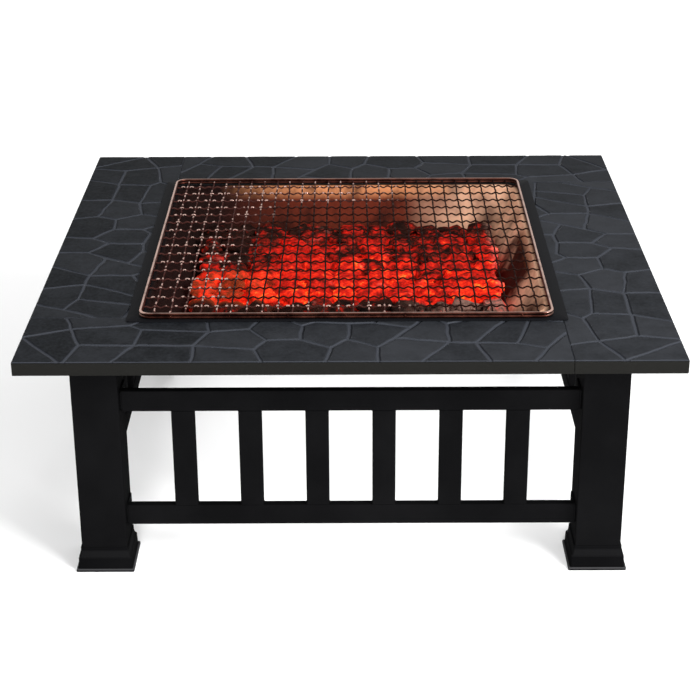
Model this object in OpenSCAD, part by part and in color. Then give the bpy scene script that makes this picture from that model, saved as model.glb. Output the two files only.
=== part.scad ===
// Square steel fire pit table. A bowl hangs by its flange in the opening of the tabletop,
// a charcoal grate stands in the bowl, and a woven cooking grate lies on the flange.
// Millimetres. +Z is up, +X is right and -Y is the front. The origin is on the ground, under the centre.

/* [Table] */
// Outside width of the square tabletop
table_w = 813; // [800:1:830]
// Height of the tabletop above the ground
table_h = 321; // [315:1:345]
// Width of the border between the outside edge and the bowl opening
border_w = 138; // [136:1:140]
// Depth of the skirt around the outside edge
skirt_h = 18; // [14:1:24]
// Depth of the lip around the bowl opening
lip_h = 12; // [6:1:14]
// Thickness of the pressed sheet steel
sheet_t = 1.2; // [1:0.1:1.5]
// Gap at the seams between two tabletop panels
seam_gap = 0.6; // [0.2:0.1:1]

/* [Stone pattern] */
// Width of the pressed joint lines
joint_w = 6; // [4:0.5:8]
// Depth of the pressed joint lines
joint_d = 0.6; // [0.3:0.1:0.8]

/* [Legs and feet] */
// Width of the square legs
leg_w = 59; // [56:1:60]
// Distance of a leg's centre from the centre of the table, along X and along Y
leg_pos = 318.6; // [316:0.1:320]
// Wall of the leg tubes
leg_wall = 1.2; // [1:0.1:2]
// Width of the base of a foot
foot_w = 75; // [72:1:80]
// Height of a foot
foot_h = 32.6; // [30:0.1:36]

/* [Side panels] */
// Height of a rail
rail_h = 28; // [26:1:30]
// Thickness of the rails and slats
rail_t = 12.4; // [10:0.1:13]
// Height of the bottom rail's underside above the ground
low_rail_z = 58; // [50:1:65]
// Height of the top rail's underside above the ground
high_rail_z = 220; // [215:1:230]
// Distance of the rails' outer face from the centre of the table
rail_face = 334; // [333:0.5:336]
// Width of a slat
slat_w = 29.5; // [25:0.5:32]
// Distance between the centres of two slats
slat_pitch = 84.5; // [80:0.5:88]
// Number of slats in one side
slat_n = 6; // [4:1:6]

/* [Fire bowl] */
// Outside width of the bowl's flange
flange_w = 558; // [556:1:570]
// Width of the bowl at the rim
bowl_w = 510; // [500:1:512]
// Width of the bowl's floor
bowl_floor_w = 380; // [370:1:390]
// Height of the bowl's floor above the ground
bowl_floor_z = 210; // [205:1:212]
// How far the loosely hung bowl is to the right of the table's centre
bowl_x = -4; // [-8:1:8]
// How far the loosely hung bowl is behind the table's centre
bowl_y = -6; // [-8:1:8]

/* [Charcoal grate] */
// Width of the square charcoal grate
coal_grate_w = 360; // [350:1:364]
// Height of the centre of its rods above the ground
coal_grate_z = 240; // [238:1:242]
// Number of rods between the two end rods
coal_rod_n = 15; // [11:2:17]

/* [Cooking grate] */
// Size of the cooking grate from left to right
grate_x = 526; // [520:1:530]
// Size of the cooking grate from front to back
grate_y = 542; // [538:1:546]
// Diameter of the rim wires
rim_d = 4; // [3:0.5:5]
// Radius of the rim's corners, at the centre of the wire
rim_r = 14; // [10:1:20]
// Diameter of the mesh wires
wire_d = 2.3; // [1.6:0.1:2.4]
// Number of mesh wires that run from front to back
long_wire_n = 26; // [20:1:30]
// Number of mesh wires that run from left to right
cross_wire_n = 16; // [12:1:20]
// How far the grate lies to the right of the table's centre
grate_pos_x = -5; // [-6:1:6]
// How far the grate lies behind the table's centre
grate_pos_y = -9; // [-10:1:6]

/* [Hidden] */

$fn = 32;
eps = 0.01;
// Gap between two bodies that come apart
body_gap = 0.3;

// Tabletop: four equal panels laid like a pinwheel, each covering one corner
half_w = table_w / 2;
panel_l = table_w - border_w;

// Legs stand on the floor of their feet, and the brackets lie on the legs
foot_floor = 2.5;
nut_h = 5;
bracket_t = 2;
bracket_z = table_h - sheet_t - nut_h - bracket_t;
leg_h = bracket_z - foot_floor;
leg_r = 2;
leg_face = leg_pos - leg_w / 2;
top_plate_t = 3;
top_plate_gap = 0.05;
foot_clearance = 0.3;
plinth_h = 3.6;
plinth_step = 2.4;
collar_t = 1.5;
cove_z = 19;
cove_h = foot_h - 22;

// Corner bracket: its near corner, its length across the seam, and its bolts, from the table's centre
bracket_near = 274;
bracket_far = 392;
bracket_reach = 205;
bracket_holes = [[370, 370], [370, 300], [370, 235], [300, 235]];
leg_bolt_offset = 14;

// Rails end in plates that are bolted to the legs
rail_wall = 1.2;
end_plate_t = 2;
end_plate_w = 38;
rail_bolt_pos = 308;

// M6 fasteners
bolt_r = 3;
tapped_r = 3.05;
clearance_r = 3.3;
hex_r = 5.77;
head_h = 4;
bolt_l = 12;
bolt_end_gap = 0.5;

// Bowl
flange_z = table_h + body_gap;
flange_top = flange_z + sheet_t;
bowl_overrun = 20;

// Charcoal grate
coal_rod_r = 3;
coal_frame_r = 4;
coal_foot_z = bowl_floor_z + sheet_t + body_gap;
coal_rod_gap = 0.05;

// Charcoal: two layers of lumps, each lump inside its own cell. A lump is what three tilted boxes
// have in common. Each layer has its columns, rows, cell width, cell depth and shift to the back.
coal_low_layer = [6, 6, 68, 68, 0];
coal_high_layer = [6, 5, 73, 68, 20];
coal_cell = 64;
coal_layer_h = 23.5;
coal_gap = 0.5;
coal_z = coal_grate_z + coal_frame_r + coal_gap;
lump_core = [62, 54, 24];
lump_cut = [64, 60, 25];
lump_bevel = [80, 48, 60];
lump_tilt = 12;
bevel_tilt = 38;

// Cooking grate: two rim wires one on the other, and the mesh between them
rim_z = flange_top + body_gap + rim_d / 2;
rim_gap = 0.1;
mesh_z = rim_z + rim_d / 2 + rim_gap / 2;
wire_gap = 0.1;
wire_end_gap = 0.2;

// Joint lines of one tabletop panel. Each list is one line, by its distance along the panel
// from the outside corner and its distance from the outside edge.
JOINT_LINES = [
  [[57, 0], [0, 76], [58, 102], [130, 112], [152, 138]],
  [[48, 138], [58, 102], [74, 51], [62, 0]],
  [[130, 112], [147, 99], [142, 50], [120, 0]],
  [[74, 51], [142, 50], [215, 49], [289, 36], [304, 64], [345, 66], [383, 41], [404, 67],
   [440, 43], [462, 70], [529, 57], [560, 54], [612, 53], [647, 38], [675, 84]],
  [[147, 99], [232, 91], [281, 100], [304, 64]],
  [[222, 138], [232, 91], [215, 49], [216, 0]],
  [[281, 100], [296, 138]],
  [[289, 36], [300, 0]],
  [[345, 66], [346, 110], [320, 138]],
  [[346, 110], [362, 121], [405, 116], [437, 118], [482, 102], [502, 138]],
  [[405, 116], [404, 67]],
  [[383, 41], [378, 0]],
  [[437, 118], [440, 138]],
  [[482, 102], [462, 70]],
  [[440, 43], [441, 0]],
  [[507, 138], [527, 115], [529, 57], [493, 0]],
  [[527, 115], [572, 133], [675, 120]],
  [[603, 129], [560, 54], [575, 0]],
  [[632, 125], [612, 53]],
  [[647, 38], [630, 0]]
];

// ---------- shared shapes ----------

// Square outline with round corners
module round_square(w, r) {
  square([w, w - 2 * r], center = true);
  square([w - 2 * r, w], center = true);
  for (x = [-1, 1], y = [-1, 1]) translate([x, y] * (w / 2 - r)) circle(r);
}

// Rectangular tube outline
module tube_outline(w, h, wall) {
  difference() {
    square([w, h], center = true);
    square([w - 2 * wall, h - 2 * wall], center = true);
  }
}

// Hexagon-headed bolt, its shank along -Z from the seat of the head at the origin
module bolt(length) {
  cylinder(r = hex_r, h = head_h, $fn = 6);
  translate([0, 0, -length]) cylinder(r = bolt_r, h = length + eps);
}

// Hexagon nut standing on the origin
module nut() {
  difference() {
    cylinder(r = hex_r, h = nut_h, $fn = 6);
    translate([0, 0, -1]) cylinder(r = tapped_r, h = nut_h + 2);
  }
}

// The child at one corner or side of the table: 0 front, 1 right, 2 back, 3 left
module turned(k) {
  rotate([0, 0, 90 * k]) children();
}

// The child where the bowl hangs
module in_bowl() {
  translate([bowl_x, bowl_y, 0]) children();
}

// The child where the cooking grate lies
module on_flange() {
  translate([grate_pos_x, grate_pos_y, 0]) children();
}

// ---------- tabletop ----------

// The joint lines of one panel, as a flat outline from its outside corner
module joint_outline() {
  for (line = JOINT_LINES) {
    for (i = [0 : len(line) - 2]) {
      step = line[i + 1] - line[i];
      translate(line[i]) rotate(atan2(step[1], step[0]))
        translate([0, -joint_w / 2]) square([norm(step), joint_w]);
    }
    for (p = line) translate(p) circle(d = joint_w, $fn = 8);
  }
}

// One panel: a pressed sheet, a skirt on its outside edges and a lip at the opening
module tabletop_panel() {
  end_gap = seam_gap / 2;
  opening_l = panel_l - border_w - 2 * end_gap;
  color("#2f3337") translate([-half_w, -half_w, table_h]) difference() {
    union() {
      translate([0, 0, -sheet_t]) cube([panel_l - end_gap, border_w - end_gap, sheet_t]);
      translate([0, 0, -skirt_h]) cube([panel_l - end_gap, sheet_t, skirt_h]);
      translate([0, 0, -skirt_h]) cube([sheet_t, border_w - end_gap, skirt_h]);
      translate([border_w + end_gap, border_w - sheet_t, -lip_h]) cube([opening_l, sheet_t, lip_h]);
    }
    translate([0, 0, -joint_d]) linear_extrude(joint_d + 1) joint_outline();
  }
}

module tabletop_front() { turned(0) tabletop_panel(); }
module tabletop_right() { turned(1) tabletop_panel(); }
module tabletop_back() { turned(2) tabletop_panel(); }
module tabletop_left() { turned(3) tabletop_panel(); }

// ---------- legs and feet ----------

// Square tube with holes for the rail bolts in its two inner faces
module leg() {
  color("#17181a") difference() {
    translate([-leg_pos, -leg_pos, foot_floor]) linear_extrude(leg_h) difference() {
      round_square(leg_w, leg_r);
      square(leg_w - 2 * leg_wall, center = true);
    }
    for (z = [low_rail_z, high_rail_z]) {
      translate([-leg_face - leg_wall - 1, -rail_bolt_pos, z + rail_h / 2])
        rotate([0, 90, 0]) cylinder(r = clearance_r, h = leg_wall + 2);
      translate([-rail_bolt_pos, -leg_face + 1, z + rail_h / 2])
        rotate([90, 0, 0]) cylinder(r = clearance_r, h = leg_wall + 2);
    }
  }
}

module leg_front_left() { turned(0) leg(); }
module leg_front_right() { turned(1) leg(); }
module leg_back_right() { turned(2) leg(); }
module leg_back_left() { turned(3) leg(); }

// Half outline of a foot: a plinth, a slightly sloping side, and a cove up to the collar at the leg
function foot_half(side) =
  let(base = foot_w / 2, shoulder = base - plinth_step - 1, collar = leg_w / 2 + collar_t)
  concat(
    [[side * base, 0], [side * base, plinth_h], [side * (base - plinth_step), plinth_h + plinth_step / 2],
     [side * shoulder, cove_z]],
    [for (a = [15 : 15 : 90])
      [side * (collar + (shoulder - collar) * (1 - sin(a))), cove_z + cove_h * (1 - cos(a))]],
    [[side * collar, foot_h]]
  );

// The moulded outline extruded along one direction
module foot_profile() {
  right = foot_half(1);
  left = foot_half(-1);
  rotate([90, 0, 0]) linear_extrude(foot_w + 2, center = true)
    polygon(concat(right, [for (i = [len(left) - 1 : -1 : 0]) left[i]]));
}

// Cap foot, with mitred corners and a socket for the leg
module foot() {
  color("#1b1c1e") translate([-leg_pos, -leg_pos, 0]) difference() {
    intersection() {
      foot_profile();
      rotate([0, 0, 90]) foot_profile();
    }
    translate([0, 0, foot_floor]) linear_extrude(foot_h)
      square(leg_w + foot_clearance, center = true);
  }
}

module foot_front_left() { turned(0) foot(); }
module foot_front_right() { turned(1) foot(); }
module foot_back_right() { turned(2) foot(); }
module foot_back_left() { turned(3) foot(); }

// Plate welded inside the top of each leg, tapped for the leg bolts
module leg_top_plates() {
  color("#3a3c3f") for (k = [0 : 3]) turned(k)
    translate([-leg_pos, -leg_pos, bracket_z - top_plate_t]) linear_extrude(top_plate_t)
      difference() {
        square(leg_w - 2 * (leg_wall + top_plate_gap), center = true);
        for (s = [-1, 1]) translate([s * leg_bolt_offset, 0]) circle(tapped_r);
      }
}

// ---------- corner brackets ----------

// Plate on top of a leg that also bridges the seam between two tabletop panels
module corner_bracket() {
  color("#232427") translate([0, 0, bracket_z]) linear_extrude(bracket_t) difference() {
    translate([-bracket_far, -bracket_far])
      square([bracket_far - bracket_near, bracket_far - bracket_reach]);
    for (hole = bracket_holes) translate(-hole) circle(clearance_r);
    for (s = [-1, 1]) translate([-leg_pos + s * leg_bolt_offset, -leg_pos]) circle(clearance_r);
  }
}

module corner_bracket_front_left() { turned(0) corner_bracket(); }
module corner_bracket_front_right() { turned(1) corner_bracket(); }
module corner_bracket_back_right() { turned(2) corner_bracket(); }
module corner_bracket_back_left() { turned(3) corner_bracket(); }

// ---------- side panels ----------

// Rail of the front side: a rectangular tube between two end plates
module rail(z) {
  plate_x = leg_face - end_plate_t / 2;
  color("#141516") translate([0, 0, z + rail_h / 2]) difference() {
    union() {
      translate([0, -rail_face + rail_t / 2, 0]) rotate([90, 0, 90])
        linear_extrude(2 * (leg_face - end_plate_t), center = true) tube_outline(rail_t, rail_h, rail_wall);
      for (s = [-1, 1]) translate([s * plate_x, -rail_face + end_plate_w / 2, 0])
        cube([end_plate_t, end_plate_w, rail_h], center = true);
    }
    for (s = [-1, 1]) translate([s * plate_x, -rail_bolt_pos, 0]) rotate([0, 90, 0])
      cylinder(r = clearance_r, h = end_plate_t + 2, center = true);
  }
}

module front_top_rail() { turned(0) rail(high_rail_z); }
module right_top_rail() { turned(1) rail(high_rail_z); }
module back_top_rail() { turned(2) rail(high_rail_z); }
module left_top_rail() { turned(3) rail(high_rail_z); }
module front_bottom_rail() { turned(0) rail(low_rail_z); }
module right_bottom_rail() { turned(1) rail(low_rail_z); }
module back_bottom_rail() { turned(2) rail(low_rail_z); }
module left_bottom_rail() { turned(3) rail(low_rail_z); }

// Slats of the front side: upright tubes between the two rails
module slats() {
  slat_z = low_rail_z + rail_h;
  color("#161719") for (i = [0 : slat_n - 1])
    translate([(i - (slat_n - 1) / 2) * slat_pitch, -rail_face + rail_t / 2, slat_z])
      linear_extrude(high_rail_z - slat_z) tube_outline(slat_w, rail_t, rail_wall);
}

module front_slats() { turned(0) slats(); }
module right_slats() { turned(1) slats(); }
module back_slats() { turned(2) slats(); }
module left_slats() { turned(3) slats(); }

// ---------- fasteners ----------

// The child at both ends of both rails on all four sides, with +Z pointing along the rail, inwards
module at_rail_ends() {
  for (k = [0 : 3], z = [low_rail_z, high_rail_z], s = [-1, 1]) turned(k)
    translate([s * leg_face, -rail_bolt_pos, z + rail_h / 2]) rotate([0, -s * 90, 0]) children();
}

module rail_bolts() {
  color("#55585c") at_rail_ends() translate([0, 0, end_plate_t]) bolt(bolt_l);
}

// Nuts welded inside the legs
module rail_nuts() {
  color("#6b6e72") at_rail_ends() translate([0, 0, -leg_wall - nut_h]) nut();
}

// Bolts up through the corner brackets into the tabletop
module tabletop_bolts() {
  color("#55585c") for (k = [0 : 3]) turned(k) for (hole = bracket_holes)
    translate([-hole[0], -hole[1], bracket_z]) rotate([180, 0, 0])
      bolt(bracket_t + nut_h - bolt_end_gap);
}

// Nuts welded under the tabletop
module tabletop_nuts() {
  color("#6b6e72") for (k = [0 : 3]) turned(k) for (hole = bracket_holes)
    translate([-hole[0], -hole[1], bracket_z + bracket_t]) nut();
}

// Bolts down through the corner brackets into the legs
module leg_bolts() {
  color("#55585c") for (k = [0 : 3], s = [-1, 1]) turned(k)
    translate([-leg_pos + s * leg_bolt_offset, -leg_pos, bracket_z + bracket_t]) bolt(bolt_l);
}

// ---------- fire bowl ----------

// Four-sided funnel shape between the planes of the bowl's walls, moved out by t
module bowl_form(t, z_low) {
  slope = (bowl_w - bowl_floor_w) / 2 / (flange_top - bowl_floor_z);
  low = bowl_floor_w / 2 + (z_low - bowl_floor_z) * slope + t;
  high = bowl_w / 2 + bowl_overrun * slope + t;
  top = flange_top + bowl_overrun;
  intersection_for (a = [0, 90]) rotate([90, 0, a]) linear_extrude(2 * flange_w, center = true)
    polygon([[-low, z_low], [low, z_low], [high, top], [-high, top]]);
}

// Tapered square pan that hangs by a flat flange
module fire_bowl() {
  color("#1a1918") in_bowl() difference() {
    union() {
      intersection() {
        bowl_form(sheet_t, bowl_floor_z);
        translate([-flange_w / 2, -flange_w / 2, 0]) cube([flange_w, flange_w, flange_top]);
      }
      translate([-flange_w / 2, -flange_w / 2, flange_z]) cube([flange_w, flange_w, sheet_t]);
    }
    bowl_form(0, bowl_floor_z + sheet_t);
  }
}

// ---------- charcoal grate ----------

// Square frame of four rods, butted at the corners
module charcoal_grate_frame() {
  side = coal_grate_w - 2 * coal_frame_r;
  color("#2a2827") in_bowl() translate([0, 0, coal_grate_z]) for (s = [-1, 1]) {
    translate([0, s * side / 2, 0]) rotate([0, 90, 0])
      cylinder(r = coal_frame_r, h = coal_grate_w, center = true);
    translate([s * side / 2, 0, 0]) rotate([90, 0, 0])
      cylinder(r = coal_frame_r, h = side - 2 * (coal_frame_r + coal_rod_gap), center = true);
  }
}

// Rods across the frame, from front to back
module charcoal_grate_rods() {
  pitch = (coal_grate_w - 2 * coal_frame_r) / (coal_rod_n + 1);
  color("#2a2827") in_bowl() for (i = [1 : coal_rod_n])
    translate([(i - (coal_rod_n + 1) / 2) * pitch, 0, coal_grate_z]) rotate([90, 0, 0])
      cylinder(r = coal_rod_r, h = coal_grate_w - 4 * coal_frame_r - 2 * coal_rod_gap, center = true);
}

// Short legs under the corners of the frame
module charcoal_grate_feet() {
  pos = coal_grate_w / 2 - coal_frame_r;
  color("#2a2827") in_bowl() for (x = [-1, 1], y = [-1, 1]) translate([x * pos, y * pos, coal_foot_z])
    cylinder(r = coal_frame_r, h = coal_grate_z - coal_frame_r - coal_rod_gap - coal_foot_z);
}

// One broken lump of charcoal, turned and cut by its own random values, inside its cell
module coal_lump(seed) {
  turn = rands(-lump_tilt, lump_tilt, 6, seed);
  size = rands(0.86, 1, 1, seed + 500)[0];
  intersection() {
    cube([coal_cell - coal_gap, coal_cell - coal_gap, coal_layer_h], center = true);
    rotate([turn[0], turn[1], 4 * turn[2]]) cube(size * lump_core, center = true);
    rotate([turn[3], turn[4], 45 + 3 * turn[5]]) cube(size * lump_cut, center = true);
    rotate([bevel_tilt + turn[1], 0, 4 * turn[0]]) cube(lump_bevel, center = true);
  }
}

// One layer of lumps, each stretched to its cell
module coal_layer(layer, z, seed) {
  for (i = [0 : layer[0] - 1], j = [0 : layer[1] - 1])
    translate([(i - (layer[0] - 1) / 2) * layer[2], (j - (layer[1] - 1) / 2) * layer[3] + layer[4], z])
      scale([layer[2] / coal_cell, layer[3] / coal_cell, 1]) coal_lump(seed + i * layer[1] + j);
}

module charcoal() {
  color("#5a2418") in_bowl() {
    coal_layer(coal_low_layer, coal_z + coal_layer_h / 2, 10);
    coal_layer(coal_high_layer, coal_z + coal_layer_h * 1.5 + coal_gap, 90);
  }
}

// ---------- cooking grate ----------

// One rim wire: four straight stretches and four bends
module rim_wire(z) {
  x = grate_x / 2 - rim_d / 2;
  y = grate_y / 2 - rim_d / 2;
  color("#b98a74") on_flange() translate([0, 0, z]) {
    for (s = [-1, 1]) {
      translate([0, s * y, 0]) rotate([0, 90, 0])
        cylinder(d = rim_d, h = 2 * (x - rim_r), center = true);
      translate([s * x, 0, 0]) rotate([90, 0, 0])
        cylinder(d = rim_d, h = 2 * (y - rim_r), center = true);
    }
    for (k = [0 : 3]) {
      sx = (k == 0 || k == 3) ? 1 : -1;
      sy = (k < 2) ? 1 : -1;
      translate([sx * (x - rim_r), sy * (y - rim_r), 0]) rotate([0, 0, 90 * k])
        rotate_extrude(angle = 90) translate([rim_r, 0]) circle(d = rim_d);
    }
  }
}

module grate_bottom_rim() { rim_wire(rim_z); }
module grate_top_rim() { rim_wire(rim_z + rim_d + rim_gap); }

// Mesh wires from front to back, in the lower half of the weave
module grate_long_wires() {
  pitch = grate_x / (long_wire_n + 1);
  color("#8d6f62") on_flange() for (i = [1 : long_wire_n])
    translate([-grate_x / 2 + i * pitch, 0, mesh_z - (wire_d + wire_gap) / 2]) rotate([90, 0, 0])
      cylinder(d = wire_d, h = grate_y - 2 * (rim_d + wire_end_gap), center = true);
}

// Mesh wires from left to right, in the upper half of the weave
module grate_cross_wires() {
  pitch = grate_y / (cross_wire_n + 1);
  color("#8d6f62") on_flange() for (i = [1 : cross_wire_n])
    translate([0, -grate_y / 2 + i * pitch, mesh_z + (wire_d + wire_gap) / 2]) rotate([0, 90, 0])
      cylinder(d = wire_d, h = grate_x - 2 * (rim_d + wire_end_gap), center = true);
}

// ---------- nodes ----------

tabletop_front();
tabletop_right();
tabletop_back();
tabletop_left();
leg_front_left();
leg_front_right();
leg_back_right();
leg_back_left();
foot_front_left();
foot_front_right();
foot_back_right();
foot_back_left();
corner_bracket_front_left();
corner_bracket_front_right();
corner_bracket_back_right();
corner_bracket_back_left();
leg_top_plates();
front_top_rail();
right_top_rail();
back_top_rail();
left_top_rail();
front_bottom_rail();
right_bottom_rail();
back_bottom_rail();
left_bottom_rail();
front_slats();
right_slats();
back_slats();
left_slats();
rail_bolts();
rail_nuts();
tabletop_bolts();
tabletop_nuts();
leg_bolts();
fire_bowl();
charcoal_grate_frame();
charcoal_grate_rods();
charcoal_grate_feet();
charcoal();
grate_bottom_rim();
grate_top_rim();
grate_long_wires();
grate_cross_wires();
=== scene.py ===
# Square steel fire pit table with burning charcoal and a woven copper cooking grate.
# Metres. +Z is up, +X is right and -Y is the front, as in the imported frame.
import math

import bmesh
import bpy
import numpy as np
from mathutils import Matrix, Vector


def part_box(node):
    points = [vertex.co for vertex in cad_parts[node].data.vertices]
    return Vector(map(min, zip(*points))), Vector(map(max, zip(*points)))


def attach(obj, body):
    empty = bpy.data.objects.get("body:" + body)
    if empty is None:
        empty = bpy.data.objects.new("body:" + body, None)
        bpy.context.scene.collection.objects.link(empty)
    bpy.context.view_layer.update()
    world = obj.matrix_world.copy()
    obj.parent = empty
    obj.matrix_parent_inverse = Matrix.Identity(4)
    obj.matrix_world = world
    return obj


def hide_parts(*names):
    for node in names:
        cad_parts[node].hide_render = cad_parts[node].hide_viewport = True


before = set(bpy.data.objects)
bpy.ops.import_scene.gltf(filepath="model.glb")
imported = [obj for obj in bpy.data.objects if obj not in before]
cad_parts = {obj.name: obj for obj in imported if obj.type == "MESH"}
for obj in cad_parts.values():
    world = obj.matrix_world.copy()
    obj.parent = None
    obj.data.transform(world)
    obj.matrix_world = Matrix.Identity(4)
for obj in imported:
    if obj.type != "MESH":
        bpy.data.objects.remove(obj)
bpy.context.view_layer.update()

MM = 0.001
UP = np.array([0.0, 0.0, 1.0])
CORNERS = ("front_left", "front_right", "back_right", "back_left")
SIDES = ("front", "right", "back", "left")


# ---------- places and sizes, from the frame ----------

def corners(node):
    """Lowest and highest corner of a CAD node."""
    low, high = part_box(node)
    return np.array(low), np.array(high)


PANEL_LOW, PANEL_HIGH = corners("tabletop_front")
FOOT_LOW, FOOT_HIGH = corners("foot_front_left")
SLATS_LOW, SLATS_HIGH = corners("front_slats")
TOP_RAIL_LOW, TOP_RAIL_HIGH = corners("front_top_rail")
BOWL_LOW, BOWL_HIGH = corners("fire_bowl")
COAL_LOW, COAL_HIGH = corners("charcoal")
RIM_LOW, RIM_HIGH = corners("grate_bottom_rim")
TOP_RIM_LOW, TOP_RIM_HIGH = corners("grate_top_rim")
LONG_WIRES_LOW, LONG_WIRES_HIGH = corners("grate_long_wires")

# Tabletop
PANEL_L = PANEL_HIGH[0] - PANEL_LOW[0]
PANEL_W = PANEL_HIGH[1] - PANEL_LOW[1]
TABLE_Z = PANEL_HIGH[2]
SKIRT_H = TABLE_Z - PANEL_LOW[2]
LIP_H = 12 * MM
SEAM_H = 3 * MM
OUTER_BEND = 2 * MM
OPENING_BEND = 1.6 * MM
SEAM_BEND = 1.3 * MM
SEAM_GAP = 0.6 * MM
# The end of a panel is bent out over the assembly gap, so that no light comes through the seam
SEAM_END = SEAM_BEND + SEAM_GAP - 0.02 * MM
SHEET_T = 1.2 * MM
PANEL_STEP = 1.25 * MM
# Depth of the face that closes a panel below
PANEL_BACK = 2 * MM
EDGE_ROUND = 0.3 * MM
CORNER_STEPS = 6
# A bend gets a painted highlight: it is as light as a joint is this near its middle, by the degrees
# that the bend has turned
BEND_PAINTED_HIGHLIGHT = {22.5: 0.28, 45: 0.44, 67.5: 0.35, 90: 0}
# Where in a bend the skirt's colour starts
SKIRT_TURN = 45

# Pressed stone pattern: its joints, and the relief of its stones by how far they drop below the top
JOINT_W = 7 * MM
JOINT_D = 0.85 * MM
# Share of a joint's half width that slopes. The rest is its flat bottom.
JOINT_WALL = 0.7
LOWEST_RELIEF = 1.15 * MM
JOINT_WANDER = 1.1 * MM
JOINT_WANDER_CELL = 17 * MM
JOINT_W_VARIES = 0.18
JOINT_W_CELL = 40 * MM
STONE_DROP = 0.16 * MM
STONE_DROP_MOST = 0.35 * MM
FACET_DROP = 0.192 * MM
FACET_CELL = 0.09
SLATE_DROP = 0.10 * MM
SLATE_CELL = 14 * MM
CHIP_DROP = 0.05 * MM
CHIP_CELL = 5 * MM
PILLOW_DROP = 0.16 * MM
PILLOW_REACH = 5 * MM

# Each list is one joint line of a panel, by its distance in millimetres along the panel from the
# outside corner, and its distance from the outside edge.
JOINT_LINES = [
    [[57, 0], [0, 76], [58, 102], [130, 112], [152, 138]],
    [[48, 138], [58, 102], [74, 51], [62, 0]],
    [[130, 112], [147, 99], [142, 50], [120, 0]],
    [[74, 51], [142, 50], [215, 49], [289, 36], [304, 64], [345, 66], [383, 41], [404, 67],
     [440, 43], [462, 70], [529, 57], [560, 54], [612, 53], [647, 38], [675, 84]],
    [[147, 99], [232, 91], [281, 100], [304, 64]],
    [[222, 138], [232, 91], [215, 49], [216, 0]],
    [[281, 100], [296, 138]],
    [[289, 36], [300, 0]],
    [[345, 66], [346, 110], [320, 138]],
    [[346, 110], [362, 121], [405, 116], [437, 118], [482, 102], [502, 138]],
    [[405, 116], [404, 67]],
    [[383, 41], [378, 0]],
    [[437, 118], [440, 138]],
    [[482, 102], [462, 70]],
    [[440, 43], [441, 0]],
    [[507, 138], [527, 115], [529, 57], [493, 0]],
    [[527, 115], [572, 133], [675, 120]],
    [[603, 129], [560, 54], [575, 0]],
    [[632, 125], [612, 53]],
    [[647, 38], [630, 0]],
]

# Feet: half widths, heights and corners of the moulded outline
FOOT_BASE = (FOOT_HIGH[0] - FOOT_LOW[0]) / 2
FOOT_H = FOOT_HIGH[2]
FOOT_CENTRE = (*(FOOT_LOW + FOOT_HIGH)[:2] / 2, 0)
PLINTH_H = 3.6 * MM
PLINTH_STEP = 2.4 * MM
FOOT_SHOULDER = FOOT_BASE - 3.4 * MM
FOOT_COLLAR = 31 * MM
FOOT_SOCKET = 29.65 * MM
FOOT_FLOOR = 2.5 * MM
COVE_Z = 19 * MM
COVE_H = 10.6 * MM
PLINTH_ROUND = 1.2 * MM
FOOT_ROUND = 0.4 * MM
FOOT_CORNER = 2 * MM
COLLAR_CORNER = 2.4 * MM
COLLAR_TOP_CORNER = 2.2 * MM
SOCKET_CORNER = 1.6 * MM

# Side panels
RAIL_FACE = -SLATS_LOW[1]
RAIL_T = SLATS_HIGH[1] - SLATS_LOW[1]
RAIL_H = TOP_RAIL_HIGH[2] - TOP_RAIL_LOW[2]
LEG_FACE = TOP_RAIL_HIGH[0]
END_PLATE_T = 2 * MM
END_PLATE_W = TOP_RAIL_HIGH[1] - TOP_RAIL_LOW[1]
TUBE_R = 1.6 * MM
SLAT_W = 29.5 * MM
SLAT_N = 6
SLAT_PITCH = (SLATS_HIGH[0] - SLATS_LOW[0] - SLAT_W) / (SLAT_N - 1)
PLATE_CORNER = 3 * MM

# Weld beads: radius, distance between points and between ripples, and how a bead sits on its parts
BEAD_R = 1.4 * MM
BEAD_STEP = 0.7 * MM
BEAD_RIPPLE = 2.2 * MM
BEAD_SINK = 0.4 * MM
BEAD_EDGE = 0.3 * MM
BEAD_INSET = 2.5 * MM
SLAT_BEAD_INSET = 2 * MM
SLAT_BEAD_FRONT = 3.5 * MM
SLAT_BEAD_BACK = 4.5 * MM

# Bowl
BOWL_CENTRE = (*(BOWL_LOW + BOWL_HIGH)[:2] / 2, 0)
FLANGE = (BOWL_HIGH[0] - BOWL_LOW[0]) / 2
FLANGE_TOP = BOWL_HIGH[2]
BOWL_FLOOR_Z = BOWL_LOW[2]
BOWL_MOUTH = 255 * MM
BOWL_FLOOR = 190 * MM
MOUTH_CORNER = 26 * MM
FLOOR_CORNER = 38 * MM
MOUTH_TOP_CORNER = 24 * MM
FLANGE_CORNER = 4 * MM
FLANGE_ROUND = 0.35 * MM
MOUTH_BEND = 3 * MM
FLOOR_FILLET = 9 * MM

# Charcoal: the lumps, and the fire in them
LUMP_H = 11.5 * MM
LUMP_CUTS = 10
LUMP_WAVES = 0.035
LUMP_GRIT = 0.02
FIRE_HEAT = 0.56
SMOULDER_COOLS = 0.10
# How strongly a painted glow shows in the base colour where the bed smoulders
PAINTED_GLOW_SHOWS = 0.6

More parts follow.
